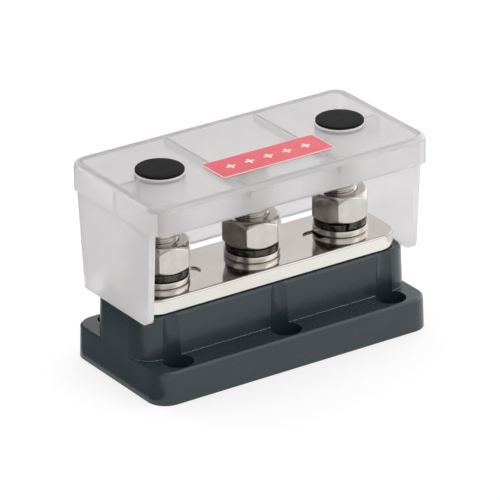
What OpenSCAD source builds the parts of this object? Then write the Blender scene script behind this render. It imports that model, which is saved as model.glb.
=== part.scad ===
// Bus bar with three studs: a moulded base, a plated bar, studs with nuts, and a frosted lift-off cover.
// Sizes are in millimetres. X runs along the bar, Y to the back and Z up.
// The origin is the middle of the base's underside.

/* [Base] */
// Length of the base at its underside
base_length = 95; // [85:0.5:140]
// Width of the base at its underside, front to back
base_width = 46.5; // [44:0.5:70]
// Height of the flange that the mounting screws go through
flange_height = 10; // [7:0.5:14]
// Radius of the flange's upright corners at the underside
flange_corner_radius = 6; // [3:0.5:9]
// Width of the ledge along each side of the pedestal, measured at the underside
ledge_width = 9; // [7.5:0.1:12]
// Height of the pedestal's top above the underside
pedestal_height = 22.8; // [20:0.2:36]
// Radius of the pedestal's upright corners at the underside
pedestal_corner_radius = 8; // [5:0.5:11]
// Moulding draft of every upright wall of the base, sideways over upwards
draft_slope = 0.035; // [0.01:0.005:0.05]
// Width of the broken edge round the tops of the flange and the pedestal
base_edge_break = 0.6; // [0.3:0.1:1]

/* [Mounting holes] */
// Distance from the base's end to its nearest mounting holes
mount_end_margin = 10.5; // [8:0.5:14]
// Distance from the base's long edge to its row of mounting holes
mount_edge_margin = 6.05; // [5:0.05:7]
// Radius of the hole for a 5 mm screw's shank
mount_hole_radius = 2.75; // [2:0.05:3.5]
// Radius of the counterbore for the screw's head, which also scallops the pedestal wall
mount_counterbore_radius = 4.5; // [3.8:0.1:5]
// Thickness of plastic that the screw's head bears on
mount_floor_thickness = 5; // [3:0.5:6]

/* [Bar] */
// Distance from the base's end to the bar's end
bar_end_margin = 3.3; // [3:0.1:6]
// Distance from the pedestal's side, measured at the underside, to the bar's side
bar_side_margin = 1.75; // [1.4:0.05:3]
// Thickness of the plated bar
bar_thickness = 4.8; // [3:0.2:8]
// Radius of the bar's corners seen from above
bar_corner_radius = 6.5; // [3:0.5:9]
// Width of the broken edge round the bar's top and bottom
bar_edge_break = 0.4; // [0.2:0.1:0.8]
// Width of the shallow slot that leads from each outer stud towards the middle one
relief_slot_width = 6; // [4:0.5:8]
// Depth of the shallow slots
relief_slot_depth = 0.6; // [0.4:0.1:1.5]
// Distance from each outer stud to the far end of its shallow slot
relief_slot_reach = 12.6; // [10:0.2:14]

/* [Studs] */
// Distance from the base's end to the outer stud
stud_end_margin = 16.5; // [14:0.5:20]
// Outer radius of the stud's thread
stud_radius = 5; // [4:0.5:6]
// Pitch of the stud's thread
thread_pitch = 1.5; // [1:0.25:2]
// Depth of the stud's thread
thread_depth = 0.85; // [0.5:0.05:1.1]
// Length of the stud above its head
stud_length = 45; // [42:1:55]
// Height of the stud's head
stud_head_height = 6.4; // [5:0.2:8]
// Width across the flats of the stud's head and of the nut
hex_width = 16; // [13:0.5:19]
// Width of the bevel at the top end of the stud
stud_end_bevel = 1; // [0.6:0.1:1.2]
// Thickness of plastic between the stud's head and the pedestal's top
head_cover_thickness = 13.8; // [10:0.2:16]

/* [Nuts and washers] */
// Height of the nut
nut_height = 8.4; // [6:0.2:10]
// Angle of the nut's end bevels to its end face
nut_bevel_angle = 45; // [15:5:45]
// Radius of the flat ring left on the nut's end faces
nut_face_radius = 7.6; // [7:0.1:8.4]
// Turn of each nut about its stud as it was left, left to right
nut_turns = [54, 48, 53]; // [0:1:60]
// Outer radius of the flat washer
flat_washer_radius = 8.2; // [7.8:0.1:10.5]
// Thickness of the flat washer
flat_washer_thickness = 2; // [1.6:0.1:3]
// Outer radius of the split spring washer
spring_washer_radius = 7.8; // [7.4:0.1:8.8]
// Thickness of the split spring washer when the nut has closed it
spring_washer_thickness = 2.2; // [1.8:0.1:3]
// Width of the split in the spring washer
spring_washer_split = 0.9; // [0.5:0.1:1.5]
// Lean of the split from the upright
spring_split_lean = 20; // [10:5:30]
// Bearing of each spring washer's split, left to right
spring_split_bearings = [150, -34, -109]; // [-180:1:180]
// Width of the broken edges on both kinds of washer
washer_edge_break = 0.25; // [0.15:0.05:0.35]

/* [Cover] */
// Distance that the rim stays inside the base's ends
cover_end_inset = 0.1; // [0:0.05:1]
// Distance that the rim stays inside the base's long edges
cover_side_inset = 0.05; // [0:0.05:1]
// Height of the cover's top above the studs' ends
stud_headroom = 6.8; // [5:0.2:10]
// Height of the rim that hangs round the top
rim_height = 8.4; // [7:0.2:10]
// Thickness of the rim
rim_thickness = 2; // [1.6:0.1:2.6]
// Thickness of the top plate
cover_top_thickness = 2.2; // [1.8:0.1:3]
// Radius of the rim's upright corners
cover_corner_radius = 5; // [3.5:0.5:8]
// Radius of the rounded edge round the top
cover_top_round = 1.6; // [0.8:0.1:1.7]
// Distance that the end walls and the back wall stand back from the rim
wall_setback = 0.8; // [0.4:0.1:1.2]
// Thickness of the end walls and the back wall
wall_thickness = 2; // [1.6:0.1:2.2]
// Distance from the rim's front to the end walls' front edges, level with the top
end_wall_top_inset = 4.2; // [3:0.1:6]
// Distance that the end walls' feet reach past the pedestal's front, measured at the underside
end_wall_foot_overhang = 2.45; // [0:0.05:4]
// Radius of the lower front corners of the end walls
end_wall_corner_radius = 2.6; // [1.5:0.1:4]
// Lean of the back wall towards the bar on its way down, sideways over downwards
back_wall_lean = 0.085; // [0:0.005:0.12]
// Height of the gap between the pedestal's top and the back wall's foot
back_wall_gap = 3.1; // [2:0.1:6]
// Radius of the corners where the back wall's foot steps down to the end walls
back_gap_radius = 1.2; // [0.5:0.1:1.8]
// Outer radius of the tubes that drop over the outer studs
tube_radius = 7.3; // [7:0.1:8]
// Height of the tubes' raised rings above the top plate
tube_ring_height = 0.5; // [0.3:0.1:1]
// Length of stud that the tubes drop over
tube_engagement = 2.2; // [1.4:0.2:4]
// Thickness of the ribs between the tubes and the end walls
tube_rib_thickness = 1.6; // [1.2:0.1:2]
// Distance from the middle stud to each of the two ribs across the underside of the top plate
cross_rib_place = 15.4; // [13:0.2:18]
// Thickness of the cross ribs
cross_rib_thickness = 1.4; // [1:0.1:2]
// Depth of the cross ribs below the top plate
cross_rib_depth = 2.4; // [1:0.1:4]

/* [Caps and label] */
// Radius of the cap's disc
cap_radius = 7.1; // [6.8:0.1:8]
// Thickness of the cap's disc
cap_thickness = 0.9; // [0.6:0.1:1.4]
// Radius of the rounded edge of the cap's disc
cap_edge_round = 0.4; // [0.2:0.05:0.5]
// Length of the cap's plug below its disc
cap_plug_length = 3.4; // [2.4:0.2:4]
// Wall of the cap's hollow plug
cap_plug_wall = 1.2; // [0.8:0.1:1.6]
// Distance from the label's end to the raised ring beside it
label_end_gap = 4.7; // [1:0.1:9]
// Width of the label
label_width = 11.6; // [8:0.2:12]
// Thickness of the label
label_thickness = 0.3; // [0.2:0.05:0.6]
// Distance from the front of the rim to the label
label_front_margin = 8.5; // [4:0.1:10]
// Radius of the label's corners
label_corner_radius = 0.6; // [0.3:0.1:1.5]

/* [Fits] */
// Gap round a stud in the base and in the bar
stud_clearance = 0.25; // [0.15:0.05:0.4]
// Gap between a stud's head and its pocket
head_clearance = 0.15; // [0.1:0.05:0.3]
// Gap between the stud's thread and the nut, on the radius
thread_clearance = 0.06; // [0.04:0.01:0.15]
// Gap between a stud and the cover's tube, on the radius
tube_clearance = 0.5; // [0.35:0.05:0.8]
// Gap between the cap's plug and the tube, on the radius
plug_clearance = 0.05; // [0.03:0.01:0.1]
// Gap between a stud and a washer, on the radius
washer_clearance = 0.25; // [0.15:0.05:0.4]

/* [Hidden] */
// Node to draw, or all of them
// Fineness of round features
$fn = 64;
// Fineness of the corners of blocks that are wrapped round four posts
blend_fn = 32;
// Small overlap that joins two solids where they meet
sliver = 0.01;
// Extra length that lets a cut run clear of the solid
cut_over = 1;
// Side of a hexagon's flats
hex_sides = 6;
// Turn that brings a hexagon's flats to face along the bar
flats_along_bar = 30;
// Step of the rounded edge round the cover's top
cover_round_step = 22.5;
// Step of the rounded edge of a cap
cap_round_step = 30;

// Width of the raised pedestal, carried down to the underside
pedestal_width = base_width - 2 * ledge_width;
// Distance from the middle mounting hole to its neighbours along the base
mount_spacing = base_length / 2 - mount_end_margin;
// Distance from the long centre line to each row of mounting holes
mount_row_offset = base_width / 2 - mount_edge_margin;
// Length of the plated bar
bar_length = base_length - 2 * bar_end_margin;
// Width of the plated bar
bar_width = pedestal_width - 2 * bar_side_margin;
// Distance between neighbouring studs
stud_pitch = base_length / 2 - stud_end_margin;
// Distance from the middle stud to the near end of each shallow slot
relief_slot_start = stud_pitch - relief_slot_reach;
// Places of the studs along the bar, left to right
stud_places = [-stud_pitch, 0, stud_pitch];
// Height of the face that the stud's head bears on
head_face = pedestal_height - head_cover_thickness;
// Height of the stud's top end
stud_top = head_face + stud_length;
// Height of the bar's top
bar_top = pedestal_height + bar_thickness;
// Height of the flat washer's top
flat_washer_top = bar_top + flat_washer_thickness;
// Height of the spring washer's top, where the nut sits
nut_seat = flat_washer_top + spring_washer_thickness;
// Radius of the nut's threaded hole
nut_bore_radius = stud_radius + thread_clearance;
// Radius of the hole in both kinds of washer
washer_bore_radius = stud_radius + washer_clearance;
// Length of the cover over its rim
cover_length = base_length - 2 * cover_end_inset;
// Width of the cover over its rim
cover_width = base_width - 2 * cover_side_inset;
// Height of the cover's top
cover_top = stud_top + stud_headroom;
// Height of the rim's lower edge
rim_foot = cover_top - rim_height;
// Radius of the bore through each tube of the cover
tube_bore_radius = stud_radius + tube_clearance;
// Length of the tubes below the top of the cover
tube_length = stud_headroom + tube_engagement;
// Height where the walls end inside the top plate
wall_top = cover_top - cover_top_thickness / 2;
// Length over the outsides of the end walls
walls_length = cover_length - 2 * wall_setback;
// Width over the walls, level with the rim's foot
walls_width = cover_width - 2 * wall_setback;
// Radius of the upright corners between the back wall and the end walls
walls_corner_radius = cover_corner_radius - wall_setback;
// Distance from the long centre line to the end walls' front edges, level with the top
end_wall_top_reach = cover_width / 2 - end_wall_top_inset;
// Distance from the long centre line to the end walls' front edges at their feet
end_wall_foot_reach = pedestal_width / 2 + end_wall_foot_overhang;
// Length of the label
label_length = 2 * (stud_pitch - tube_radius - label_end_gap);
// Distance from the label's middle to the long centre line
label_offset = cover_width / 2 - label_front_margin - label_width / 2;

// Circumscribed radius of a hexagon from its width across the flats
function hex_radius(width) = width / 2 / cos(180 / hex_sides);

// The four places where a rounded rectangle's corner arcs are centred
module at_corners(length, width, radius) {
    for (x = [-1, 1], y = [-1, 1])
        translate([x * (length / 2 - radius), y * (width / 2 - radius), 0])
            children();
}

// Moulded block with drafted sides, rounded upright corners and a broken top edge
module drafted_block(length, width, height, radius, edge) {
    shoulder = height - edge;
    hull()
        at_corners(length, width, radius)
            rotate_extrude($fn = blend_fn)
                polygon([
                    [0, 0],
                    [radius, 0],
                    [radius - draft_slope * shoulder, shoulder],
                    [radius - draft_slope * height - edge, height],
                    [0, height]
                ]);
}

// Block with straight sides whose top edge is rounded
module round_topped_block(length, width, foot, top, radius, round) {
    hull()
        at_corners(length, width, radius)
            rotate_extrude($fn = blend_fn)
                polygon(concat(
                    [[0, foot], [radius, foot]],
                    [for (angle = [0 : cover_round_step : 90]) [
                        radius - round * (1 - cos(angle)),
                        top - round * (1 - sin(angle))
                    ]],
                    [[0, top]]
                ));
}

// Plate with rounded corners and broken edges above and below, standing on z = 0
module edge_broken_plate(length, width, thickness, radius, edge) {
    hull()
        at_corners(length, width, radius)
            rotate_extrude($fn = blend_fn)
                polygon([
                    [0, 0],
                    [radius - edge, 0],
                    [radius, edge],
                    [radius, thickness - edge],
                    [radius - edge, thickness],
                    [0, thickness]
                ]);
}

// Hexagonal prism standing on z = 0 with its flats facing along the bar
module hex_prism(width, height) {
    rotate(flats_along_bar)
        cylinder(r = hex_radius(width), h = height, $fn = hex_sides);
}

// Flat ring with broken edges, standing on z = 0
module ring(outer, inner, thickness) {
    rotate_extrude()
        polygon([
            [inner, 0],
            [outer - washer_edge_break, 0],
            [outer, washer_edge_break],
            [outer, thickness - washer_edge_break],
            [outer - washer_edge_break, thickness],
            [inner, thickness]
        ]);
}

// Every mounting hole's place
module at_mounting_holes() {
    for (x = [-1, 0, 1], y = [-1, 1])
        translate([x * mount_spacing, y * mount_row_offset, 0])
            children();
}

// Base moulding with scalloped mounting holes and a pocket for each stud's head
module base() {
    color("#33383b")
        difference() {
            union() {
                drafted_block(base_length, base_width, flange_height, flange_corner_radius, base_edge_break);
                drafted_block(base_length, pedestal_width, pedestal_height, pedestal_corner_radius,
                    base_edge_break);
            }
            at_mounting_holes() {
                translate([0, 0, -cut_over])
                    cylinder(r = mount_hole_radius, h = mount_floor_thickness + 2 * cut_over);
                translate([0, 0, mount_floor_thickness])
                    cylinder(r = mount_counterbore_radius, h = pedestal_height);
            }
            for (x = stud_places)
                translate([x, 0, 0]) {
                    translate([0, 0, -cut_over])
                        hex_prism(hex_width + 2 * head_clearance, head_face + cut_over);
                    cylinder(r = stud_radius + stud_clearance, h = pedestal_height + cut_over);
                }
        }
}

// Plated bar with a hole for each stud and a shallow slot beside each outer one
module bus_bar() {
    color("#d5d0c9")
        translate([0, 0, pedestal_height])
            difference() {
                edge_broken_plate(bar_length, bar_width, bar_thickness, bar_corner_radius, bar_edge_break);
                for (x = stud_places)
                    translate([x, 0, -cut_over])
                        cylinder(r = stud_radius + stud_clearance, h = bar_thickness + 2 * cut_over);
                for (side = [-1, 1])
                    relief_slot(side);
            }
}

// Round-ended shallow slot from an outer stud's hole towards the middle stud
module relief_slot(side) {
    half = relief_slot_width / 2;
    run = stud_pitch - relief_slot_start - half;
    translate([side * (relief_slot_start + half), 0, bar_thickness - relief_slot_depth]) {
        cylinder(r = half, h = relief_slot_depth + cut_over);
        translate([side > 0 ? 0 : -run, -half, 0])
            cube([run, relief_slot_width, relief_slot_depth + cut_over]);
    }
}

// Stud with a hexagonal head held in the base and a thread above the bar
module stud(x) {
    root_radius = stud_radius - thread_depth;
    thread_end = stud_top - stud_end_bevel;
    turns = floor((thread_end - bar_top) / thread_pitch);
    thread_start = thread_end - turns * thread_pitch;
    translate([x, 0, 0]) {
        translate([0, 0, head_face - stud_head_height])
            hex_prism(hex_width, stud_head_height);
        rotate_extrude()
            polygon(concat(
                [[0, head_face - sliver], [stud_radius, head_face - sliver]],
                [for (turn = [0 : turns - 1]) each [
                    [stud_radius, thread_start + turn * thread_pitch],
                    [root_radius, thread_start + (turn + 0.5) * thread_pitch]
                ]],
                [[stud_radius, thread_end], [stud_radius - stud_end_bevel, stud_top], [0, stud_top]]
            ));
    }
}

// Left stud
module stud_left() {
    color("#b9b4ae") stud(stud_places[0]);
}

// Middle stud
module stud_middle() {
    color("#b9b4ae") stud(stud_places[1]);
}

// Right stud
module stud_right() {
    color("#b9b4ae") stud(stud_places[2]);
}

// Flat washer on the bar round one stud
module flat_washer(x) {
    translate([x, 0, bar_top])
        ring(flat_washer_radius, washer_bore_radius, flat_washer_thickness);
}

// Left flat washer
module flat_washer_left() {
    color("#c9c5bf") flat_washer(stud_places[0]);
}

// Middle flat washer
module flat_washer_middle() {
    color("#c9c5bf") flat_washer(stud_places[1]);
}

// Right flat washer
module flat_washer_right() {
    color("#c9c5bf") flat_washer(stud_places[2]);
}

// Spring washer with a leaning split, closed flat under its nut
module spring_washer(x, bearing) {
    translate([x, 0, flat_washer_top])
        difference() {
            ring(spring_washer_radius, washer_bore_radius, spring_washer_thickness);
            rotate(bearing)
                translate([0, 0, spring_washer_thickness / 2])
                    rotate([spring_split_lean, 0, 0])
                        translate([0, -spring_washer_split / 2, -spring_washer_thickness])
                            cube([spring_washer_radius + cut_over, spring_washer_split,
                                2 * spring_washer_thickness]);
        }
}

// Left spring washer
module spring_washer_left() {
    color("#6f6b66") spring_washer(stud_places[0], spring_split_bearings[0]);
}

// Middle spring washer
module spring_washer_middle() {
    color("#6f6b66") spring_washer(stud_places[1], spring_split_bearings[1]);
}

// Right spring washer
module spring_washer_right() {
    color("#6f6b66") spring_washer(stud_places[2], spring_split_bearings[2]);
}

// Hexagonal nut, bevelled at both ends, on one stud
module nut(x, turn) {
    corner = hex_radius(hex_width) + cut_over;
    drop = (corner - nut_face_radius) * tan(nut_bevel_angle);
    translate([x, 0, nut_seat])
        difference() {
            intersection() {
                rotate(turn)
                    cylinder(r = hex_radius(hex_width), h = nut_height, $fn = hex_sides);
                rotate_extrude()
                    polygon([
                        [0, 0],
                        [nut_face_radius, 0],
                        [corner, drop],
                        [corner, nut_height - drop],
                        [nut_face_radius, nut_height],
                        [0, nut_height]
                    ]);
            }
            translate([0, 0, -cut_over])
                cylinder(r = nut_bore_radius, h = nut_height + 2 * cut_over);
            for (end = [0, 1])
                translate([0, 0, end * nut_height])
                    mirror([0, 0, end])
                        translate([0, 0, -sliver])
                            cylinder(r1 = nut_bore_radius + thread_depth, r2 = nut_bore_radius,
                                h = thread_depth);
        }
}

// Left nut
module nut_left() {
    color("#c6c1bb") nut(stud_places[0], nut_turns[0]);
}

// Middle nut
module nut_middle() {
    color("#c6c1bb") nut(stud_places[1], nut_turns[1]);
}

// Right nut
module nut_right() {
    color("#c6c1bb") nut(stud_places[2], nut_turns[2]);
}

// Upright block with rounded corners that leans towards the front on its way down
module leaning_block(length, width, radius, foot) {
    multmatrix([
        [1, 0, 0, 0],
        [0, 1, back_wall_lean, -back_wall_lean * rim_foot],
        [0, 0, 1, 0]
    ])
        translate([0, 0, foot])
            linear_extrude(wall_top - foot)
                hull()
                    at_corners(length, width, radius)
                        circle(r = radius, $fn = blend_fn);
}

// Side view of the walls, whose front edge leans back to a rounded lower corner
module walls_side_view() {
    hull() {
        translate([-end_wall_foot_reach, pedestal_height])
            translate([end_wall_corner_radius, end_wall_corner_radius])
                circle(r = end_wall_corner_radius);
        polygon([
            [0, pedestal_height],
            [cover_width, pedestal_height],
            [cover_width, wall_top],
            [-end_wall_top_reach, wall_top]
        ]);
    }
}

// Back view of the gap under the back wall's foot
module back_gap_view() {
    gap_length = walls_length - 2 * walls_corner_radius;
    offset(r = back_gap_radius)
        offset(delta = -back_gap_radius)
            translate([-gap_length / 2, pedestal_height - 2 * back_gap_radius])
                square([gap_length, back_wall_gap + 2 * back_gap_radius]);
}

// Two end walls joined by a back wall, open at the front
module cover_walls() {
    difference() {
        intersection() {
            leaning_block(walls_length, walls_width, walls_corner_radius, pedestal_height);
            translate([-cover_length / 2, 0, 0])
                rotate([90, 0, 90])
                    linear_extrude(cover_length)
                        walls_side_view();
        }
        leaning_block(walls_length - 2 * wall_thickness, walls_width - 2 * wall_thickness,
            walls_corner_radius - wall_thickness, pedestal_height - cut_over);
        translate([0, -cover_width / 2, 0])
            cube([walls_length - 2 * wall_thickness, cover_width, 2 * cover_top], center = true);
        translate([0, cover_width, 0])
            rotate([90, 0, 0])
                linear_extrude(cover_width)
                    back_gap_view();
    }
}

// Rib that joins a tube to its end wall
module tube_rib(side) {
    reach = walls_length / 2 - wall_thickness / 2 - stud_pitch;
    translate([side > 0 ? stud_pitch : -stud_pitch - reach, -tube_rib_thickness / 2, rim_foot])
        cube([reach, tube_rib_thickness, rim_height - cover_top_thickness / 2]);
}

// Rib across the underside of the top plate, from rim to rim
module cross_rib(side) {
    reach = cover_width / 2 - rim_thickness / 2;
    rib_foot = cover_top - cover_top_thickness - cross_rib_depth;
    translate([side * cross_rib_place - cross_rib_thickness / 2, -reach, rib_foot])
        cube([cross_rib_thickness, 2 * reach, wall_top - rib_foot]);
}

// Rimmed top of the cover, hollow from below
module rimmed_top() {
    difference() {
        round_topped_block(cover_length, cover_width, rim_foot, cover_top,
            cover_corner_radius, cover_top_round);
        translate([0, 0, rim_foot - cut_over])
            linear_extrude(rim_height - cover_top_thickness + cut_over)
                hull()
                    at_corners(cover_length - 2 * rim_thickness, cover_width - 2 * rim_thickness,
                        cover_corner_radius - rim_thickness)
                        circle(r = cover_corner_radius - rim_thickness, $fn = blend_fn);
    }
}

// Frosted cover: a rimmed top on three walls, with a tube over each outer stud, open at the front
module cover() {
    color("#dcdadb", 0.6)
        difference() {
            union() {
                rimmed_top();
                cover_walls();
                for (side = [-1, 1]) {
                    cross_rib(side);
                    tube_rib(side);
                    translate([side * stud_pitch, 0, cover_top - tube_length])
                        cylinder(r = tube_radius, h = tube_length + tube_ring_height);
                }
            }
            for (side = [-1, 1])
                translate([side * stud_pitch, 0, cover_top - tube_length - cut_over])
                    cylinder(r = tube_bore_radius, h = tube_length + tube_ring_height + 2 * cut_over);
        }
}

// Push-in cap that closes one tube
module cap(x) {
    seat = cover_top + tube_ring_height;
    plug_radius = tube_bore_radius - plug_clearance;
    translate([x, 0, seat])
        rotate_extrude()
            polygon(concat(
                [
                    [plug_radius - cap_plug_wall, 0],
                    [plug_radius - cap_plug_wall, -cap_plug_length],
                    [plug_radius - cap_edge_round, -cap_plug_length],
                    [plug_radius, cap_edge_round - cap_plug_length],
                    [plug_radius, 0],
                    [cap_radius, 0]
                ],
                [for (angle = [0 : cap_round_step : 90]) [
                    cap_radius - cap_edge_round * (1 - cos(angle)),
                    cap_thickness - cap_edge_round * (1 - sin(angle))
                ]],
                [[0, cap_thickness], [0, 0]]
            ));
}

// Cap over the left stud
module cap_left() {
    color("#383836") cap(stud_places[0]);
}

// Cap over the right stud
module cap_right() {
    color("#383836") cap(stud_places[2]);
}

// Red polarity label, left without words
module label() {
    color("#d9404a")
        translate([0, -label_offset, cover_top])
            linear_extrude(label_thickness)
                hull()
                    at_corners(label_length, label_width, label_corner_radius)
                        circle(r = label_corner_radius, $fn = blend_fn);
}

base();
bus_bar();
stud_left();
stud_middle();
stud_right();
flat_washer_left();
flat_washer_middle();
flat_washer_right();
spring_washer_left();
spring_washer_middle();
spring_washer_right();
nut_left();
nut_middle();
nut_right();
cover();
cap_left();
cap_right();
label();
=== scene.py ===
"""Dresses the bus bar with rounded edges, real threads, split washers and materials, in a white studio."""
import math

import bmesh
import bpy
from mathutils import Matrix, Vector


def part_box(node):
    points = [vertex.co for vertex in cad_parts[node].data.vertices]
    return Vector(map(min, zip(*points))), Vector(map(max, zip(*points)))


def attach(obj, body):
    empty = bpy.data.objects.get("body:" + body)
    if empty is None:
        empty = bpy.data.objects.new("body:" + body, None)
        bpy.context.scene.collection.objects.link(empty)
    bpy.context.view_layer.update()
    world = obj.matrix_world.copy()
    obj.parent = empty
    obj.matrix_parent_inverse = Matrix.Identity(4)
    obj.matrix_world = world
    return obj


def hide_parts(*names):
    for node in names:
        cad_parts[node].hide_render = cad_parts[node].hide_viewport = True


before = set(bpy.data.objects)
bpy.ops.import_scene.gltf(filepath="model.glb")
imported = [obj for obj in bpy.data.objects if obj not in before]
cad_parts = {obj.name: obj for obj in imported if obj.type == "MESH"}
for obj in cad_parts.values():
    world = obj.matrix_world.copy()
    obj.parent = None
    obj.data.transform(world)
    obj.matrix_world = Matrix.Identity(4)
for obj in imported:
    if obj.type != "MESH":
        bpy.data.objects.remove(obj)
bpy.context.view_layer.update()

MM = 0.001
SIDES = ("left", "middle", "right")

# Sizes in millimetres that the solids don't give by their boxes
LEDGE_HEIGHT = 10.0
FOOT_FILLET = 0.4
BASE_ROUND = 0.35
BAR_MIDDLE_REACH = 40.0
BAR_MIDDLE_WIDTH = 10.0
BAR_ROUND = 0.25
STUD_PITCH = 31.0
STUD_RADIUS = 5.0
STUD_END_BEVEL = 1.0
STUD_END_RING = 0.6
STUD_HEAD_HEIGHT = 6.4
STUD_HEAD_BEVEL = 0.5
STUD_HEAD_CORNER = 0.2
THREAD_PITCH = 1.5
THREAD_DEPTH = 0.85
THREAD_GAP = 0.06
THREAD_BELOW_BAR_TOP = 1.0
HEX_WIDTH = 16.0
NUT_FACE_RADIUS = 7.6
NUT_FACE_INSET = 0.15
NUT_CORNER_ROUND = 0.35
NUT_EDGE = 0.12
NUT_LEAST_BEVEL = 0.05
NUT_LEAD_IN = 0.9
WASHER_BORE_RADIUS = 5.25
WASHER_TOP_ROUND = 0.25
WASHER_FOOT_ROUND = 0.60
SPRING_ROUND = 0.25
SPRING_RISE = 0.3
SPLIT_WIDTH = 0.9
COVER_RING_HEIGHT = 0.5
COVER_TOP_THICKNESS = 2.2
COVER_RIM_REACH = 8.9
COVER_RIM_BAND = 2.6
COVER_TOP_ROUND = 1.6
COVER_EDGE = 0.35
COVER_CORNER = 6.5
COVER_SLACK = 0.05
COVER_TUBE_REACH = 8.0
COVER_ROUND = 0.3
CAP_PLUG_LENGTH = 3.4
CAP_PLUG_RADIUS = 5.45
CAP_PLUG_BORE = 4.25
CAP_EDGE = 0.4
CAP_DOME = 0.08
CAP_FOOT_BEVEL = 0.1
LABEL_CORNER_RADIUS = 0.6
LABEL_EDGE = 0.1
LABEL_BORDER = 0.2
MARK_PITCH = 6.4
MARK_REACH = 1.5
MARK_HALF_STROKE = 0.36

# Number of printed marks on the label
LABEL_MARKS = 5

# Angles in degrees
QUARTER_TURN = 90
FLAT_FROM_CORNER = 30
NUT_TURNS = {"left": 54, "middle": 48, "right": 53}
NUT_BEVEL_ANGLE = 45
SPLIT_BEARINGS = {"left": 150, "middle": -34, "right": -109}
SPLIT_LEAN = 20
CAP_EDGE_ARC = 80
CREASE = 35
STUD_CREASE = 50
NUT_CREASE = 22
ROUNDED_CREASE = 40
SHARP_ANGLE = 24
FLAT_ANGLE = 1

# A hexagon's sides, and the angle in radians from one to the next
HEX_SIDES = 6
HEX_STEP = math.pi / 3

# Shares of the thread's pitch and of its flank, of a nut's lead-in and of a cap's radius
THREAD_CREST = 0.07
THREAD_ROOT = 0.40
THREAD_STRAIGHT = 0.85
THREAD_SOFT = 0.15
BORE_FLARE = 0.2
CAP_DOME_SHARES = (0.8, 0.6, 0.4, 0.2)

# How much a face points some way, from 0 to 1
FOOT_SLANT = 0.2
FACING_SHARE = 0.5
TOP_FACING = 0.999
NEAR_EDGE_FACING = 0.7
EDGE_FACING = 0.05

# Marks kept on faces: how frosted, how clear, how pale and how dark they are, from 0 to 1; the paleness is
# partly painted light and the darkness is painted shade
FROST = "frost"
CLEARNESS = "clearness"
PALENESS_AND_PAINTED_LIGHT = "paleness_and_painted_light"
SHADE = "shade"

# Marks in each zone of the cover, whose paleness is partly the plastic's tone and partly painted light, and
# whose shade is painted shade
COVER_FINISHES_AND_PAINTED_LIGHT = {
    "top": {FROST: 0.0, CLEARNESS: 0.78, PALENESS_AND_PAINTED_LIGHT: 0.0},
    "top edge": {FROST: 0.6, CLEARNESS: 0.60, PALENESS_AND_PAINTED_LIGHT: 0.6},
    # Painted shade: a darker band on the upward rounds of the front and left top edges
    "near edge": {FROST: 1.0, CLEARNESS: 0.60, PALENESS_AND_PAINTED_LIGHT: 0.0, SHADE: 0.20},
    # Painted shade at the rounded top corners
    "top corner": {FROST: 0.8, CLEARNESS: 0.55, PALENESS_AND_PAINTED_LIGHT: 0.0, SHADE: 0.08},
    "rim": {FROST: 0.2, CLEARNESS: 0.70, PALENESS_AND_PAINTED_LIGHT: 0.3},
    "rim inside": {FROST: 1.0, CLEARNESS: 0.80, PALENESS_AND_PAINTED_LIGHT: 0.4},
    # Painted light: the left wall is less pale than the right and back walls
    "left wall": {FROST: 0.0, CLEARNESS: 0.46, PALENESS_AND_PAINTED_LIGHT: 0.45},
    "right wall": {FROST: 0.0, CLEARNESS: 0.80, PALENESS_AND_PAINTED_LIGHT: 1.0},
    "back wall": {FROST: 0.0, CLEARNESS: 0.68, PALENESS_AND_PAINTED_LIGHT: 1.0},
    # Painted highlight: the raised ring round each cap is pale
    "cap ring": {FROST: 0.6, CLEARNESS: 0.30, PALENESS_AND_PAINTED_LIGHT: 1.0},
    "wall edge": {FROST: 0.6, CLEARNESS: 0.45, PALENESS_AND_PAINTED_LIGHT: 1.0},
    "inner wall": {FROST: 1.0, CLEARNESS: 0.95, PALENESS_AND_PAINTED_LIGHT: 1.0},
    "left inside": {FROST: 1.0, CLEARNESS: 0.55, PALENESS_AND_PAINTED_LIGHT: 1.0},
    "underside": {FROST: 0.1, CLEARNESS: 0.80, PALENESS_AND_PAINTED_LIGHT: 0.0},
    # Painted shade: a dark line where the top meets the rim inside
    "inner corner": {FROST: 0.6, CLEARNESS: 0.30, PALENESS_AND_PAINTED_LIGHT: 0.0, SHADE: 1.0},
    "tube": {FROST: 0.5, CLEARNESS: 0.10, PALENESS_AND_PAINTED_LIGHT: 1.0},
    "rib": {FROST: 0.7, CLEARNESS: 0.90, PALENESS_AND_PAINTED_LIGHT: 0.6},
}

# Fineness of the meshes
ROUND_COLUMNS = 72
FINE_COLUMNS = 144
ROWS_PER_PITCH = 16
FLAT_STEPS = 10
CORNER_STEPS = 4
WASHER_TOP_STEPS = 5
WASHER_FOOT_STEPS = 4
SPRING_ROUND_STEPS = 3
CAP_EDGE_STEPS = 5
LABEL_CORNER_STEPS = 12
LABEL_EDGE_STEPS = 3
ROUNDED_STEPS = 3

# Distances in metres within which points are joined
SOLID_WELD = 2e-6
LABEL_WELD = 1e-6

# Colours as red, green and blue light, pairs where they vary over a material
BASE_COLOURS = ((0.016, 0.028, 0.033), (0.022, 0.034, 0.041))
# Painted highlight along the fillet at the pedestal's foot
FOOT_HIGHLIGHT_COLOUR = (0.70, 0.74, 0.76)
TIN_COLOURS = ((0.74, 0.71, 0.665), (0.80, 0.77, 0.73))
# Painted shade on the bar's broken top edge, in place of its bright reflection
TIN_EDGE_SHADE_COLOUR = (0.50, 0.47, 0.44)
STAINLESS_COLOURS = ((0.54, 0.51, 0.485), (0.64, 0.61, 0.58))
# Split washers' steel, kept near black as painted shade in the gap under each nut
SPRING_SHADE_COLOURS = ((0.030, 0.027, 0.023), (0.125, 0.115, 0.102))
COVER_COLOURS = ((0.77, 0.751, 0.756), (0.965, 0.94, 0.95))
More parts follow.
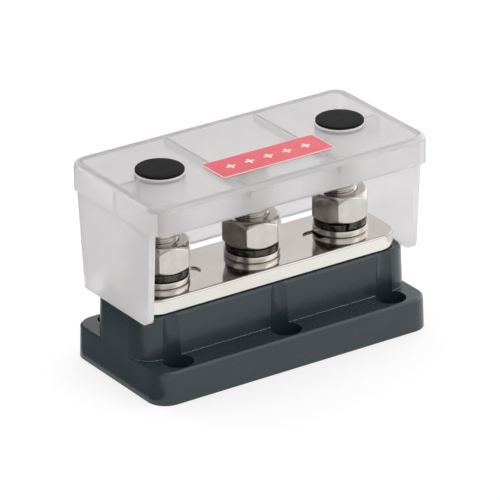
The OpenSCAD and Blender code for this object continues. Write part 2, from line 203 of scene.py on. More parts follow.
# Colour of the cover's painted shade
COVER_SHADE_COLOUR = (0.30, 0.29, 0.29)
CAP_COLOURS = ((0.006, 0.006, 0.006), (0.010, 0.010, 0.010))
LABEL_COLOURS = ((0.535, 0.070, 0.091), (0.585, 0.083, 0.107))
LABEL_PRINT_COLOUR = (0.84, 0.60, 0.52)
FLOOR_COLOUR = (0.3, 0.3, 0.3)
WHITE = (1, 1, 1)

# Ranges over which roughness varies
BASE_ROUGHNESS = (0.22, 0.30)
TIN_ROUGHNESS = (0.07, 0.14)
STAINLESS_ROUGHNESS = (0.16, 0.26)
SPRING_ROUGHNESS = (0.24, 0.34)
COVER_SMOOTH_ROUGHNESS = (0.14, 0.20)
COVER_FROST_ROUGHNESS = (0.37, 0.47)
CAP_ROUGHNESS = (0.62, 0.75)
LABEL_ROUGHNESS = (0.38, 0.48)

# The middle range of noise, and how much of it varies the cover's paleness
NOISE_MIDDLE = (0.3, 0.7)
COVER_MOTTLING = 0.2

# Grains to the millimetre
TURNING_GRAINS = 7
STAINLESS_GRAINS = 0.25
SPRING_GRAINS = 0.6


def box_mm(node):
    """Lowest and highest corners of a solid, in millimetres."""
    low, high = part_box(node)
    return [v / MM for v in low], [v / MM for v in high]


def stud_place(side):
    """Place of a stud's axis along the bar, in millimetres."""
    low, high = box_mm("stud_" + side)
    return (low[0] + high[0]) / 2


# Meshes

def finish_mesh(name, shape, material, crease=CREASE):
    """Turns a mesh in the making into an object, smooth except over edges sharper than the crease angle."""
    bmesh.ops.recalc_face_normals(shape, faces=shape.faces)
    mesh = bpy.data.meshes.new(name)
    shape.to_mesh(mesh)
    shape.free()
    mesh.shade_smooth()
    mesh.set_sharp_from_angle(angle=math.radians(crease))
    mesh.materials.append(material)
    piece = bpy.data.objects.new(name, mesh)
    bpy.context.scene.collection.objects.link(piece)
    return piece


def even_normals(piece):
    """Lets large faces rule the shading, so that narrow rounded edges don't smear over them."""
    weighted = piece.modifiers.new("even_normals", "WEIGHTED_NORMAL")
    weighted.keep_sharp = True


def polar_mesh(bearings, profile):
    """Closed mesh round the Z axis, from the radii and heights in millimetres of a profile at each bearing.

    Profiles that start and end on the axis share a point at each end, and others close on themselves.
    """
    columns = [profile(bearing) for bearing in bearings]
    rows = len(columns[0])
    on_axis = columns[0][0][0] == 0
    shape = bmesh.new()
    ends = {}
    if on_axis:
        for row in (0, rows - 1):
            ends[row] = shape.verts.new((0, 0, columns[0][row][1]))
    grid = []
    for bearing, column in zip(bearings, columns):
        verts = []
        for row, (radius, height) in enumerate(column):
            place = (radius * math.cos(bearing), radius * math.sin(bearing), height)
            verts.append(ends.get(row) or shape.verts.new(place))
        grid.append(verts)
    spans = rows - 1 if on_axis else rows
    for index, here in enumerate(grid):
        beside = grid[(index + 1) % len(grid)]
        for row in range(spans):
            after = (row + 1) % rows
            corners = []
            for vert in (here[row], beside[row], beside[after], here[after]):
                if vert not in corners:
                    corners.append(vert)
            shape.faces.new(corners)
    bmesh.ops.scale(shape, vec=(MM, MM, MM), verts=shape.verts)
    return shape


def even_bearings(count):
    """Bearings at equal steps round a circle."""
    return [2 * math.pi * step / count for step in range(count)]


def round_mesh(points):
    """Closed mesh of one profile turned round the Z axis."""
    return polar_mesh(even_bearings(FINE_COLUMNS), lambda bearing: points)


def hex_outline(turn, corner_round):
    """Radius at each bearing of a hexagon with rounded corners, HEX_WIDTH wide across its flats."""
    half = HEX_WIDTH / 2
    reach = half * math.tan(HEX_STEP / 2) - corner_round * math.tan(HEX_STEP / 2)
    points = []
    for side in range(HEX_SIDES):
        angle = turn + side * HEX_STEP
        along = Vector((-math.sin(angle), math.cos(angle)))
        out = Vector((math.cos(angle), math.sin(angle)))
        for step in range(FLAT_STEPS):
            points.append(out * half + along * reach * (2 * step / FLAT_STEPS - 1))
        centre = out * (half - corner_round) + along * reach
        for step in range(CORNER_STEPS):
            bend = angle + HEX_STEP * step / CORNER_STEPS
            points.append(centre + corner_round * Vector((math.cos(bend), math.sin(bend))))
    return {math.atan2(point.y, point.x): point.length for point in points}


def thread_depth_at(bearing, height):
    """How far below its crest a right-hand thread lies at a bearing and height."""
    phase = (height / THREAD_PITCH - bearing / (2 * math.pi)) % 1.0
    from_crest = min(phase, 1 - phase)
    share = min(max((from_crest - THREAD_CREST) / (THREAD_ROOT - THREAD_CREST), 0.0), 1.0)
    return THREAD_DEPTH * (THREAD_STRAIGHT * share + THREAD_SOFT * share * share * (3 - 2 * share))


def arc(centre, radius, start, end, steps):
    """Points of an arc round a centre, from one angle in degrees to another."""
    points = []
    for step in range(steps + 1):
        angle = math.radians(start + (end - start) * step / steps)
        points.append((centre[0] + radius * math.cos(angle), centre[1] + radius * math.sin(angle)))
    return points


def make_stud(side, material):
    """Hexagon-headed stud with a cut thread above the bar."""
    low, high = box_mm("stud_" + side)
    flat = HEX_WIDTH / 2
    head_top = low[2] + STUD_HEAD_HEIGHT
    thread_start = box_mm("bus_bar")[1][2] - THREAD_BELOW_BAR_TOP
    thread_length = high[2] - thread_start
    rows = round(thread_length / THREAD_PITCH * ROWS_PER_PITCH)

    def profile(bearing):
        around = (bearing + HEX_STEP / 2) % HEX_STEP - HEX_STEP / 2
        corner = flat / math.cos(around)
        bevelled = min(corner, flat + STUD_HEAD_CORNER)
        points = [(0, low[2]), (flat - STUD_HEAD_BEVEL, low[2]), (bevelled, low[2] + STUD_HEAD_BEVEL)]
        points += [(corner, low[2] + 2 * STUD_HEAD_BEVEL), (corner, head_top), (STUD_RADIUS, head_top)]
        points.append((STUD_RADIUS, thread_start))
        for row in range(1, rows + 1):
            z = thread_start + thread_length * row / rows
            cut = STUD_RADIUS - thread_depth_at(bearing, z) * min((z - thread_start) / THREAD_PITCH, 1)
            points.append((min(cut, STUD_RADIUS - STUD_END_BEVEL + (high[2] - z)), z))
        points += [(STUD_RADIUS - STUD_END_BEVEL - STUD_END_RING, high[2]), (0, high[2])]
        return points

    shape = polar_mesh(even_bearings(ROUND_COLUMNS), profile)
    piece = finish_mesh("turned_stud_" + side, shape, material, STUD_CREASE)
    piece.location.x = stud_place(side) * MM
    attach(piece, "base")
    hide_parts("stud_" + side)


def make_nut(side, material):
    """Hexagon nut with bevelled ends, rounded corners and a thread that meshes with its stud's."""
    low, high = box_mm("nut_" + side)
    height = high[2] - low[2]
    outline = hex_outline(math.radians(NUT_TURNS[side] + FLAT_FROM_CORNER), NUT_CORNER_ROUND)
    rows = round(height / THREAD_PITCH * ROWS_PER_PITCH)
    slope = math.tan(math.radians(NUT_BEVEL_ANGLE))

    def bore(bearing, z):
        lead_in = max(0.0, NUT_LEAD_IN - (z - low[2]), NUT_LEAD_IN - (high[2] - z))
        inward = max(thread_depth_at(bearing, z) - lead_in, -BORE_FLARE * lead_in)
        return STUD_RADIUS + THREAD_GAP - inward

    def profile(bearing):
        corner = outline[bearing]
        drop = max((corner - NUT_FACE_RADIUS) * slope, NUT_LEAST_BEVEL)
        points = [(NUT_FACE_RADIUS - NUT_FACE_INSET, low[2])]
        points.append((NUT_FACE_RADIUS + NUT_EDGE, low[2] + NUT_EDGE * slope))
        points.append((corner - NUT_EDGE, low[2] + drop - NUT_EDGE * slope))
        points.append((corner, low[2] + drop + NUT_EDGE))
        points.append((corner, (low[2] + high[2]) / 2))
        points.append((corner, high[2] - drop - NUT_EDGE))
        points.append((corner - NUT_EDGE, high[2] - drop + NUT_EDGE * slope))
        points.append((NUT_FACE_RADIUS + NUT_EDGE, high[2] - NUT_EDGE * slope))
        points.append((NUT_FACE_RADIUS - NUT_FACE_INSET, high[2]))
        for row in range(rows + 1):
            z = high[2] - height * row / rows
            points.append((bore(bearing, z), z))
        return points

    piece = finish_mesh("cut_nut_" + side, polar_mesh(sorted(outline), profile), material, NUT_CREASE)
    piece.location.x = stud_place(side) * MM
    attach(piece, "nut_" + side)
    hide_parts("nut_" + side)


def make_flat_washer(side, material):
    """Stamped washer, rounded at its upper edges and more so at its outer foot."""
    low, high = box_mm("flat_washer_" + side)
    outer = (high[0] - low[0]) / 2
    inner = WASHER_BORE_RADIUS
    over = WASHER_TOP_ROUND
    under = WASHER_FOOT_ROUND
    points = [(inner + under, low[2])]
    points += arc((outer - under, low[2] + under), under, 270, 360, WASHER_FOOT_STEPS)
    points += arc((outer - over, high[2] - over), over, 0, 90, WASHER_TOP_STEPS)
    points += arc((inner + over, high[2] - over), over, 90, 180, WASHER_TOP_STEPS)
    points.append((inner, low[2] + under))
    piece = finish_mesh("stamped_washer_" + side, round_mesh(points), material)
    piece.location.x = stud_place(side) * MM
    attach(piece, "base")
    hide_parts("flat_washer_" + side)


def make_spring_washer(side, material):
    """Split washer wound from rounded bar, its two ends a little out of line at the leaning split."""
    low, high = box_mm("spring_washer_" + side)
    outer = (high[0] - low[0]) / 2
    inner = WASHER_BORE_RADIUS
    height = high[2] - low[2] - SPRING_RISE
    far = outer - SPRING_ROUND
    near = inner + SPRING_ROUND
    foot = SPRING_ROUND
    crown = height - SPRING_ROUND
    section = []
    for centre, start in (((far, foot), 270), ((far, crown), 0), ((near, crown), 90), ((near, foot), 180)):
        section += arc(centre, SPRING_ROUND, start, start + QUARTER_TURN, SPRING_ROUND_STEPS)
    bearing = math.radians(SPLIT_BEARINGS[side])
    slant = math.tan(math.radians(SPLIT_LEAN))
    gap = SPLIT_WIDTH / ((outer + inner) / 2)
    shape = bmesh.new()
    rings = []
    for step in range(FINE_COLUMNS + 1):
        share = step / FINE_COLUMNS
        ring = []
        for radius, z in section:
            lean = (z - height / 2) * slant / radius
            angle = bearing + gap / 2 + (2 * math.pi - gap) * share + lean
            level = low[2] + z + SPRING_RISE * (1 - share)
            ring.append(shape.verts.new((radius * math.cos(angle), radius * math.sin(angle), level)))
        rings.append(ring)
    for before, after in zip(rings, rings[1:]):
        for index in range(len(section)):
            following = (index + 1) % len(section)
            shape.faces.new((before[index], after[index], after[following], before[following]))
    shape.faces.new(rings[0])
    shape.faces.new(rings[-1])
    bmesh.ops.scale(shape, vec=(MM, MM, MM), verts=shape.verts)
    piece = finish_mesh("split_washer_" + side, shape, material)
    piece.location.x = stud_place(side) * MM
    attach(piece, "spring_washer_" + side)
    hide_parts("spring_washer_" + side)


def make_cap(side, material):
    """Push-in cap with a low dome, a rounded edge and a hollow plug."""
    low, high = box_mm("cap_" + side)
    outer = (high[0] - low[0]) / 2
    seat = low[2] + CAP_PLUG_LENGTH
    crown = high[2] - CAP_DOME
    points = [(0, seat), (CAP_PLUG_BORE, seat), (CAP_PLUG_BORE, low[2])]
    points.append((CAP_PLUG_RADIUS - CAP_EDGE, low[2]))
    points += [(CAP_PLUG_RADIUS, low[2] + CAP_EDGE), (CAP_PLUG_RADIUS, seat)]
    points += [(outer - CAP_FOOT_BEVEL, seat), (outer, seat + CAP_FOOT_BEVEL)]
    points += arc((outer - CAP_EDGE, crown - CAP_EDGE), CAP_EDGE, 0, CAP_EDGE_ARC, CAP_EDGE_STEPS)
    for share in CAP_DOME_SHARES:
        points.append(((outer - CAP_EDGE) * share, crown + CAP_DOME * (1 - share * share)))
    points.append((0, high[2]))
    piece = finish_mesh("moulded_cap_" + side, round_mesh(points), material)
    piece.location.x = stud_place(side) * MM
    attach(piece, "cover")
    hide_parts("cap_" + side)


def rounded_outline(low, high, radius):
    """Points of a rounded rectangle, anticlockwise, in millimetres."""
    left = low[0] + radius
    front = low[1] + radius
    right = high[0] - radius
    back = high[1] - radius
    corners = ((right, back), (left, back), (left, front), (right, front))
    points = []
    for index, centre in enumerate(corners):
        start = index * QUARTER_TURN
        points += arc(centre, radius, start, start + QUARTER_TURN, LABEL_CORNER_STEPS)
    return points


def plate(name, outline, bottom, top, edge, material):
    """Flat plate with rounded edges, cut from an outline in millimetres."""
    curve = bpy.data.curves.new(name, "CURVE")
    curve.dimensions = "2D"
    curve.fill_mode = "BOTH"
    curve.extrude = ((top - bottom) / 2 - edge) * MM
    curve.bevel_depth = edge * MM
    curve.bevel_resolution = LABEL_EDGE_STEPS
    curve.offset = -edge * MM
    spline = curve.splines.new("POLY")
    spline.points.add(len(outline) - 1)
    for point, (x, y) in zip(spline.points, outline):
        point.co = (x * MM, y * MM, 0, 1)
    spline.use_cyclic_u = True
    holder = bpy.data.objects.new(name + "_outline", curve)
    bpy.context.scene.collection.objects.link(holder)
    graph = bpy.context.evaluated_depsgraph_get()
    mesh = bpy.data.meshes.new_from_object(holder.evaluated_get(graph))
    bpy.data.objects.remove(holder)
    bpy.data.curves.remove(curve)
    shape = bmesh.new()
    shape.from_mesh(mesh)
    bpy.data.meshes.remove(mesh)
    bmesh.ops.remove_doubles(shape, verts=shape.verts, dist=LABEL_WELD)
    bmesh.ops.translate(shape, vec=(0, 0, (top + bottom) / 2 * MM), verts=shape.verts)
    return finish_mesh(name, shape, material)


def make_label(material):
    """Printed film label."""
    low, high = box_mm("label")
    outline = rounded_outline(low, high, LABEL_CORNER_RADIUS)
    piece = plate("printed_label", outline, low[2], high[2], LABEL_EDGE, material)
    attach(piece, "cover")
    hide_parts("label")


def make_rounded(node, name, width, material, body):
    """Copy of a solid whose sharp edges are rounded, over a width in millimetres."""
    shape = bmesh.new()
    shape.from_mesh(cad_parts[node].data)
    bmesh.ops.remove_doubles(shape, verts=shape.verts, dist=SOLID_WELD)
    flat = math.radians(FLAT_ANGLE)
    bmesh.ops.dissolve_limit(shape, angle_limit=flat, verts=shape.verts, edges=shape.edges)
    sharp = []
    for edge in shape.edges:
        if len(edge.link_faces) == 2 and edge.calc_face_angle() > math.radians(SHARP_ANGLE):
            sharp.append(edge)
    bmesh.ops.bevel(shape, geom=sharp, offset=width * MM, offset_type="OFFSET", segments=ROUNDED_STEPS,
                    profile=0.5, affect="EDGES", clamp_overlap=True)
    bmesh.ops.triangulate(shape, faces=[face for face in shape.faces if len(face.verts) > 4])
    piece = finish_mesh(name, shape, material, ROUNDED_CREASE)
    even_normals(piece)
    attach(piece, body)
    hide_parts(node)
    return piece


# Marks on faces

def mark_faces(piece, mark, values):
    """Keeps a number on every face of a piece under the name of a mark."""
    layer = piece.data.attributes.new(mark, "FLOAT", "FACE")
    layer.data.foreach_set("value", values)


def cover_zone(high, place, facing):
    """Zone of a face of the cover, from the cover's highest corner, the face's place and the way it faces."""
    x, y, z = place
    underside = high[2] - COVER_RING_HEIGHT - COVER_TOP_THICKNESS
    rim_foot = high[2] - COVER_RIM_REACH
    facing_down = facing.z < -FACING_SHARE
    facing_in = x * facing.x + y * facing.y < 0
    if z > high[2] - COVER_RING_HEIGHT + COVER_SLACK:
        return "cap ring"
    at_corner = abs(x) > high[0] - COVER_CORNER and abs(y) > high[1] - COVER_CORNER
    if z > underside + COVER_EDGE:
        on_top = abs(x) < high[0] - COVER_TOP_ROUND and abs(y) < high[1] - COVER_TOP_ROUND
        if facing.z > TOP_FACING or on_top and not at_corner:
            return "top"
        if at_corner:
            return "top corner"
        at_left = x < COVER_TOP_ROUND - high[0]
        at_front = y < COVER_TOP_ROUND - high[1]
        # Upward rounds of the front and left top edges, which face the camera, take painted shade
        if facing.z > NEAR_EDGE_FACING and (at_left or at_front):
            return "near edge"
        if not at_left:
            return "top edge"
    at_rim = abs(x) > high[0] - COVER_RIM_BAND or abs(y) > high[1] - COVER_RIM_BAND
    if z > underside - COVER_EDGE and at_rim and facing_in:
        return "inner corner"
    if z > underside - COVER_EDGE and facing_down:
        return "underside"
    if z < rim_foot and (facing_down or y < 0 and facing.y < -FACING_SHARE):
        return "wall edge"
    if z > rim_foot and not at_rim and not at_corner:
        return "tube" if math.hypot(abs(x) - STUD_PITCH, y) < COVER_TUBE_REACH else "rib"
    if facing_in:
        if z > rim_foot:
            return "rim inside"
        return "left inside" if facing.x > FACING_SHARE else "inner wall"
    if abs(facing.x) > abs(facing.y):
        return "left wall" if x < 0 else "right wall"
    return "rim" if z > rim_foot else "back wall"


def mark_cover_finishes_and_painted_light(piece):
    """Marks every face of the cover with its finish and with its painted light and shade."""
    high = box_mm("cover")[1]
    zone_marks = []
    for face in piece.data.polygons:
        zone_marks.append(COVER_FINISHES_AND_PAINTED_LIGHT[cover_zone(high, face.center / MM, face.normal)])
    for mark in (FROST, CLEARNESS, PALENESS_AND_PAINTED_LIGHT, SHADE):
        mark_faces(piece, mark, [zone_mark.get(mark, 0.0) for zone_mark in zone_marks])


def mark_foot_highlight(piece):
    """Marks the fillet along the pedestal's foot, where a painted highlight makes it paler than the rest."""
    values = []
    for face in piece.data.polygons:
        at_foot = 0 < face.center.z / MM - LEDGE_HEIGHT < FOOT_FILLET
        slanted = abs(face.normal.y) > FOOT_SLANT and face.normal.z > FOOT_SLANT
        values.append(1.0 if at_foot and slanted else 0.0)
    mark_faces(piece, PALENESS_AND_PAINTED_LIGHT, values)


def mark_bar_edge_shade(piece):
    """Marks the broken edge round the bar's top for painted shade that darkens it, but not its slots' edges.
    """
    values = []
    for face in piece.data.polygons:
        x, y, _ = face.center / MM
        in_middle = abs(x) < BAR_MIDDLE_REACH and abs(y) < BAR_MIDDLE_WIDTH / 2
        slanted = EDGE_FACING < face.normal.z < TOP_FACING
        values.append(1.0 if slanted and not in_middle else 0.0)
    mark_faces(piece, SHADE, values)


# Materials

class Material:
    """A procedural material in the making: a principled surface and the texture nodes that feed it."""

    def __init__(self, name, **values):
        self.material = bpy.data.materials.new(name)
        self.material.use_nodes = True
        self.nodes = self.material.node_tree.nodes
        self.links = self.material.node_tree.links
        self.surface = self.nodes["Principled BSDF"]
        self.place = self.nodes.new("ShaderNodeTexCoord").outputs["Object"]
        for socket, value in values.items():
            self.surface.inputs[socket.replace("_", " ")].default_value = value

    def scaled(self, scale):
        """The place on the object in millimetres, stretched by a factor along each axis."""
        node = self.nodes.new("ShaderNodeMapping")
        node.inputs["Scale"].default_value = [factor / MM for factor in scale]
        self.links.new(self.place, node.inputs["Vector"])
        return node.outputs["Vector"]

    def noise(self, grains, detail):
        """Noise with a given number of grains to the millimetre along each axis."""
        node = self.nodes.new("ShaderNodeTexNoise")
        node.inputs["Scale"].default_value = 1.0
        node.inputs["Detail"].default_value = detail
        self.links.new(self.scaled(grains), node.inputs["Vector"])
        return node.outputs["Fac"]

    def spread(self, noise, ends):
        """The middle range of noise, spread between two numbers."""
        node = self.nodes.new("ShaderNodeMapRange")
        node.inputs["From Min"].default_value = NOISE_MIDDLE[0]
        node.inputs["From Max"].default_value = NOISE_MIDDLE[1]
        node.inputs["To Min"].default_value = ends[0]
        node.inputs["To Max"].default_value = ends[1]
        self.links.new(noise, node.inputs["Value"])
        return node.outputs["Result"]

    def colours(self, share, first, second):
        """A blend of two colours, each an output or three values."""
        node = self.nodes.new("ShaderNodeMix")
        node.data_type = "RGBA"
        self.links.new(share, node.inputs["Factor"])
        for socket, colour in (("A", first), ("B", second)):
            if isinstance(colour, tuple):
                node.inputs[socket].default_value = (*colour, 1)
            else:
                self.links.new(colour, node.inputs[socket])
        return node.outputs["Result"]

    def mottled(self, noise, pair):
        """A pair of colours blended by noise."""
        return self.colours(self.spread(noise, (0, 1)), *pair)

    def math(self, operation, first, second=0.0):
        """Result of one sum, each term an output or a number."""
        node = self.nodes.new("ShaderNodeMath")
        node.operation = operation
        for socket, term in zip(node.inputs, (first, second)):
            if isinstance(term, (int, float)):
                socket.default_value = term
            else:
                self.links.new(term, socket)
        return node.outputs["Value"]

    def mark(self, name):
        """A number kept on the faces of the mesh."""
        node = self.nodes.new("ShaderNodeAttribute")
        node.attribute_name = name
        return node.outputs["Fac"]

    def blend(self, share, first, second):
        """A blend of two numbers."""
        node = self.nodes.new("ShaderNodeMix")
        for socket, output in (("Factor", share), ("A", first), ("B", second)):
            self.links.new(output, node.inputs[socket])
        return node.outputs["Result"]

    def bump(self, height, depth, strength, under=None):
        """A surface raised by a height output, over a depth in millimetres, on top of another bump."""
        node = self.nodes.new("ShaderNodeBump")
        node.inputs["Strength"].default_value = strength
        node.inputs["Distance"].default_value = depth * MM
        self.links.new(height, node.inputs["Height"])
        if under:
            self.links.new(under, node.inputs["Normal"])
        return node.outputs["Normal"]

    def feed(self, socket, output):
        """Drives one input of the surface."""
        self.links.new(output, self.surface.inputs[socket])


def base_plastic():
    """Dark moulded plastic with a fine satin grain and faint flow marks, and a painted highlight along the
    pedestal's foot.
    """
    look = Material("base_plastic", IOR=1.5)
    flow = look.noise(grains=(0.03, 0.03, 0.10), detail=2)
    dark = look.mottled(flow, BASE_COLOURS)
    # Painted highlight: the foot fillet is blended towards a pale colour
    look.feed("Base Color", look.colours(look.mark(PALENESS_AND_PAINTED_LIGHT), dark, FOOT_HIGHLIGHT_COLOUR))
    cloud = look.noise(grains=(0.2, 0.2, 0.2), detail=3)
    look.feed("Roughness", look.spread(cloud, BASE_ROUGHNESS))
    grain = look.noise(grains=(5, 5, 5), detail=2)
    look.feed("Normal", look.bump(grain, depth=0.02, strength=0.25))
    return look.material


def tin_plate():
    """Bright plated metal, a little wavy, with faint rolling marks along the bar and painted shade on the
    broken edge round its top.
    """
    look = Material("tin_plate", Metallic=1.0)
    cloud = look.noise(grains=(0.06, 0.12, 0.12), detail=3)
    bright = look.mottled(cloud, TIN_COLOURS)
    # Painted shade darkens the broken edge round the top
    look.feed("Base Color", look.colours(look.mark(SHADE), bright, TIN_EDGE_SHADE_COLOUR))
    rolling = look.noise(grains=(0.15, 6, 6), detail=3)
    look.feed("Roughness", look.spread(rolling, TIN_ROUGHNESS))
    wave = look.noise(grains=(0.10, 0.14, 0.14), detail=1)
    wavy = look.bump(wave, depth=0.03, strength=0.5)
    look.feed("Normal", look.bump(rolling, depth=0.004, strength=0.3, under=wavy))
    return look.material


def turned_steel(name, colours, roughness, grains):
    """Machined steel with turning marks that run round its axis."""
    look = Material(name, Metallic=1.0)
    split = look.nodes.new("ShaderNodeSeparateXYZ")
    look.links.new(look.place, split.inputs["Vector"])
    flat = look.nodes.new("ShaderNodeCombineXYZ")
    look.links.new(split.outputs["X"], flat.inputs["X"])
    look.links.new(split.outputs["Y"], flat.inputs["Y"])
    radius = look.nodes.new("ShaderNodeVectorMath")
    radius.operation = "LENGTH"
    look.links.new(flat.outputs["Vector"], radius.inputs[0])
    rings = look.nodes.new("ShaderNodeCombineXYZ")
    look.links.new(radius.outputs["Value"], rings.inputs["X"])
    look.links.new(split.outputs["Z"], rings.inputs["Z"])
    scale = look.nodes.new("ShaderNodeVectorMath")
    scale.operation = "SCALE"
    scale.inputs["Scale"].default_value = TURNING_GRAINS / MM
    look.links.new(rings.outputs["Vector"], scale.inputs[0])
    turning = look.nodes.new("ShaderNodeTexNoise")
    turning.inputs["Scale"].default_value = 1.0
    turning.inputs["Detail"].default_value = 3.0
    look.links.new(scale.outputs["Vector"], turning.inputs["Vector"])
    cloud = look.noise(grains=(grains, grains, grains), detail=3)
    look.feed("Base Color", look.mottled(cloud, colours))
    look.feed("Roughness", look.spread(cloud, roughness))
    look.feed("Normal", look.bump(turning.outputs["Fac"], depth=0.006, strength=0.35))
    return look.material


def frosted_plastic():
    """Hazy clear plastic, smoother outside than inside, which blurs what lies behind it; its paleness by zone
    is partly painted light, and its shade is painted shade.
    """
    look = Material("frosted_plastic", IOR=1.46)
    look.feed("Transmission Weight", look.mark(CLEARNESS))
    cloud = look.noise(grains=(0.05, 0.05, 0.08), detail=3)
    # Paleness marked per zone is partly painted light, and the shade mark paints shade over it
    share = look.math("ADD", look.mark(PALENESS_AND_PAINTED_LIGHT), look.math("MULTIPLY", cloud, COVER_MOTTLING))
    pale = look.colours(share, *COVER_COLOURS)
    look.feed("Base Color", look.colours(look.mark(SHADE), pale, COVER_SHADE_COLOUR))
    grain = look.noise(grains=(0.4, 0.4, 0.4), detail=3)
    smooth = look.spread(grain, COVER_SMOOTH_ROUGHNESS)
    frosted = look.spread(grain, COVER_FROST_ROUGHNESS)
    look.feed("Roughness", look.blend(look.mark(FROST), smooth, frosted))
    wave = look.noise(grains=(0.5, 0.5, 0.5), detail=2)
    look.feed("Normal", look.bump(wave, depth=0.02, strength=0.10))
    return look.material


def cap_plastic():
    """Matt black plastic with a soft, slightly dusty face."""
    look = Material("cap_plastic", IOR=1.45, Specular_IOR_Level=0.12)
    cloud = look.noise(grains=(0.3, 0.3, 0.3), detail=4)
    look.feed("Base Color", look.mottled(cloud, CAP_COLOURS))
    look.feed("Roughness", look.spread(cloud, CAP_ROUGHNESS))
    grain = look.noise(grains=(6, 6, 6), detail=2)
    look.feed("Normal", look.bump(grain, depth=0.03, strength=0.3))
    return look.material


def label_film(low, high):
    """Red printed film with a thin pale border and a row of pale plus marks."""
    look = Material("label_film", IOR=1.5, Specular_IOR_Level=0.35)
    split = look.nodes.new("ShaderNodeSeparateXYZ")
    look.links.new(look.scaled((1, 1, 1)), split.inputs["Vector"])
    along = look.math("SUBTRACT", split.outputs["X"], (low[0] + high[0]) / 2)
    across = look.math("ABSOLUTE", look.math("SUBTRACT", split.outputs["Y"], (low[1] + high[1]) / 2))
    from_middle = look.math("ABSOLUTE", along)
    from_mark = look.math("PINGPONG", from_middle, MARK_PITCH / 2)
    thin = look.math("LESS_THAN", look.math("MINIMUM", from_mark, across), MARK_HALF_STROKE)
    short = look.math("LESS_THAN", look.math("MAXIMUM", from_mark, across), MARK_REACH)
    stroke = look.math("MULTIPLY", thin, short)
    in_row = look.math("LESS_THAN", from_middle, LABEL_MARKS * MARK_PITCH / 2)
    ends = look.math("GREATER_THAN", from_middle, (high[0] - low[0]) / 2 - LABEL_BORDER)
    edges = look.math("GREATER_THAN", across, (high[1] - low[1]) / 2 - LABEL_BORDER)
    pale = look.math("MAXIMUM", look.math("MULTIPLY", stroke, in_row), look.math("MAXIMUM", ends, edges))
    ink = look.mottled(look.noise(grains=(0.4, 0.4, 0.4), detail=4), LABEL_COLOURS)
    look.feed("Base Color", look.colours(pale, ink, LABEL_PRINT_COLOUR))
    cloud = look.noise(grains=(1.5, 1.5, 1.5), detail=3)
    look.feed("Roughness", look.spread(cloud, LABEL_ROUGHNESS))
    grain = look.noise(grains=(2, 2, 2), detail=3)
    look.feed("Normal", look.bump(grain, depth=0.02, strength=0.15))
    return look.material


# Pieces

stainless = turned_steel("stainless", STAINLESS_COLOURS, STAINLESS_ROUGHNESS, STAINLESS_GRAINS)
# The split washers' steel is painted dark, as painted shade between nut and flat washer
spring_steel = turned_steel("spring_steel", SPRING_SHADE_COLOURS, SPRING_ROUGHNESS, SPRING_GRAINS)
caps = cap_plastic()

base = make_rounded("base", "moulded_base", BASE_ROUND, base_plastic(), "base")
mark_foot_highlight(base)
bar = make_rounded("bus_bar", "plated_bar", BAR_ROUND, tin_plate(), "base")
mark_bar_edge_shade(bar)
for side in SIDES:
    make_stud(side, stainless)
    make_flat_washer(side, stainless)
    make_spring_washer(side, spring_steel)
    make_nut(side, stainless)
cover = make_rounded("cover", "frosted_cover", COVER_ROUND, frosted_plastic(), "cover")
mark_cover_finishes_and_painted_light(cover)
for side in ("left", "right"):
    make_cap(side, caps)
make_label(label_film(*box_mm("label")))

# Studio

# Angles of the camera fitted to the photograph, in radians
CAMERA_AZIMUTH = math.radians(-33.797)
CAMERA_ELEVATION = math.radians(24.327)
CAMERA_ROLL = math.radians(-0.671)

# Its distance, aim and sensor in millimetres, and its focal length and the picture's side in pixels
CAMERA_DISTANCE = 1300.36
AIM = Vector((0, 0, 30))
AIM_RIGHT = -0.543
AIM_UP = -1.406
SENSOR = 36.0
CAMERA_FOCUS = 4512.34
IMAGE_SIDE = 500

# Range that the camera sees and reach of the floor, in metres
NEAREST_SEEN = 0.01
FARTHEST_SEEN = 20
FLOOR_REACH = 3

# Strength of the light that the floor gives off and of the light from all round
FLOOR_GLOW = 0.64
WORLD_STRENGTH = 1.0

# Roughness of the floor and of the dark cards
STUDIO_ROUGHNESS = 0.9


def make_camera():
    """Camera at the photograph's viewing angle."""
    back = Vector((math.sin(CAMERA_AZIMUTH) * math.cos(CAMERA_ELEVATION),
                   -math.cos(CAMERA_AZIMUTH) * math.cos(CAMERA_ELEVATION), math.sin(CAMERA_ELEVATION)))
    level = Vector((math.cos(CAMERA_AZIMUTH), math.sin(CAMERA_AZIMUTH), 0))
    upright = back.cross(level)
    right = math.cos(CAMERA_ROLL) * level + math.sin(CAMERA_ROLL) * upright
    up = -math.sin(CAMERA_ROLL) * level + math.cos(CAMERA_ROLL) * upright
    place = (AIM + AIM_RIGHT * right + AIM_UP * up + CAMERA_DISTANCE * back) * MM
    data = bpy.data.cameras.new("camera")
    data.sensor_width = SENSOR
    data.lens = CAMERA_FOCUS / IMAGE_SIDE * SENSOR
    data.clip_start = NEAREST_SEEN
    data.clip_end = FARTHEST_SEEN
    camera = bpy.data.objects.new("camera", data)
    turn = Matrix((right, up, back)).transposed().to_4x4()
    camera.matrix_world = Matrix.Translation(place) @ turn
    bpy.context.scene.collection.objects.link(camera)
    bpy.context.scene.camera = camera


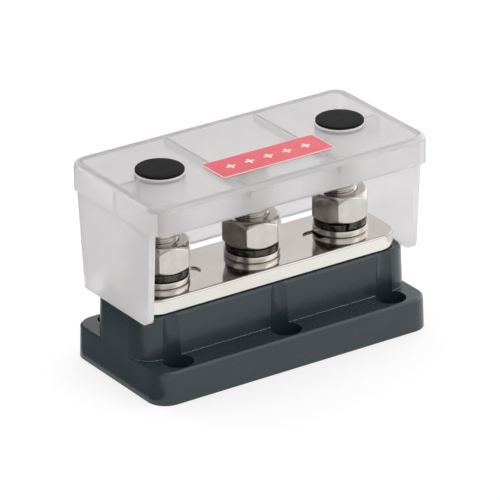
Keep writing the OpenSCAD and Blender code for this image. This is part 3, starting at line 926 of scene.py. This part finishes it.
def make_floor():
    """Plain pale floor that glows like a light table, so that shadows on it stay faint."""
    look = Material("floor", Roughness=STUDIO_ROUGHNESS, Emission_Strength=FLOOR_GLOW)
    look.surface.inputs["Base Color"].default_value = (*FLOOR_COLOUR, 1)
    look.surface.inputs["Emission Color"].default_value = (*WHITE, 1)
    shape = bmesh.new()
    bmesh.ops.create_grid(shape, x_segments=1, y_segments=1, size=FLOOR_REACH)
    floor = finish_mesh("floor", shape, look.material)


def make_flag(name, place, turn, size, shade):
    """Dark card that shows in reflections and through the cover, but not to the camera itself."""
    look = Material(name, Roughness=STUDIO_ROUGHNESS)
    look.surface.inputs["Base Color"].default_value = (shade, shade, shade, 1)
    shape = bmesh.new()
    bmesh.ops.create_grid(shape, x_segments=1, y_segments=1, size=size / 2)
    flag = finish_mesh(name, shape, look.material)
    flag.rotation_euler = turn
    flag.location = place
    flag.visible_camera = False
    flag.visible_diffuse = False
    flag.visible_shadow = False


def make_light(name, place, aim, size, power):
    """Square soft box that faces a point."""
    data = bpy.data.lights.new(name, "AREA")
    data.shape = "SQUARE"
    data.size = size
    data.energy = power
    light = bpy.data.objects.new(name, data)
    light.location = place
    light.rotation_euler = (Vector(aim) - Vector(place)).to_track_quat("-Z", "Y").to_euler()
    bpy.context.scene.collection.objects.link(light)


def make_world():
    """White light from all round."""
    world = bpy.data.worlds.new("studio")
    world.use_nodes = True
    background = world.node_tree.nodes["Background"]
    background.inputs["Color"].default_value = (*WHITE, 1)
    background.inputs["Strength"].default_value = WORLD_STRENGTH
    bpy.context.scene.world = world


make_camera()
make_floor()
upright_turn = (math.pi / 2, 0, math.pi / 2 + CAMERA_AZIMUTH)
make_flag("left_flag", place=(-0.105, -0.02, 0.27), turn=upright_turn, size=0.54, shade=0.02)
make_flag("floor_flag", place=(-0.148, 0.07, 0.001), turn=(0, 0, 0), size=0.2, shade=0.15)
make_world()
make_light("key", place=(0.9, -0.7, 0.9), aim=(0, 0, 0.03), size=1.4, power=5)
make_light("right", place=(1.1, 0.3, 0.3), aim=(0, 0, 0.04), size=1.1, power=4.9)
make_light("back", place=(-0.2, 1.1, 0.3), aim=(0, 0, 0.04), size=0.9, power=7.8)
make_light("top", place=(-0.1, 0.2, 1.2), aim=(0, 0, 0.03), size=0.9, power=2)
bpy.context.scene.view_settings.view_transform = "Standard"
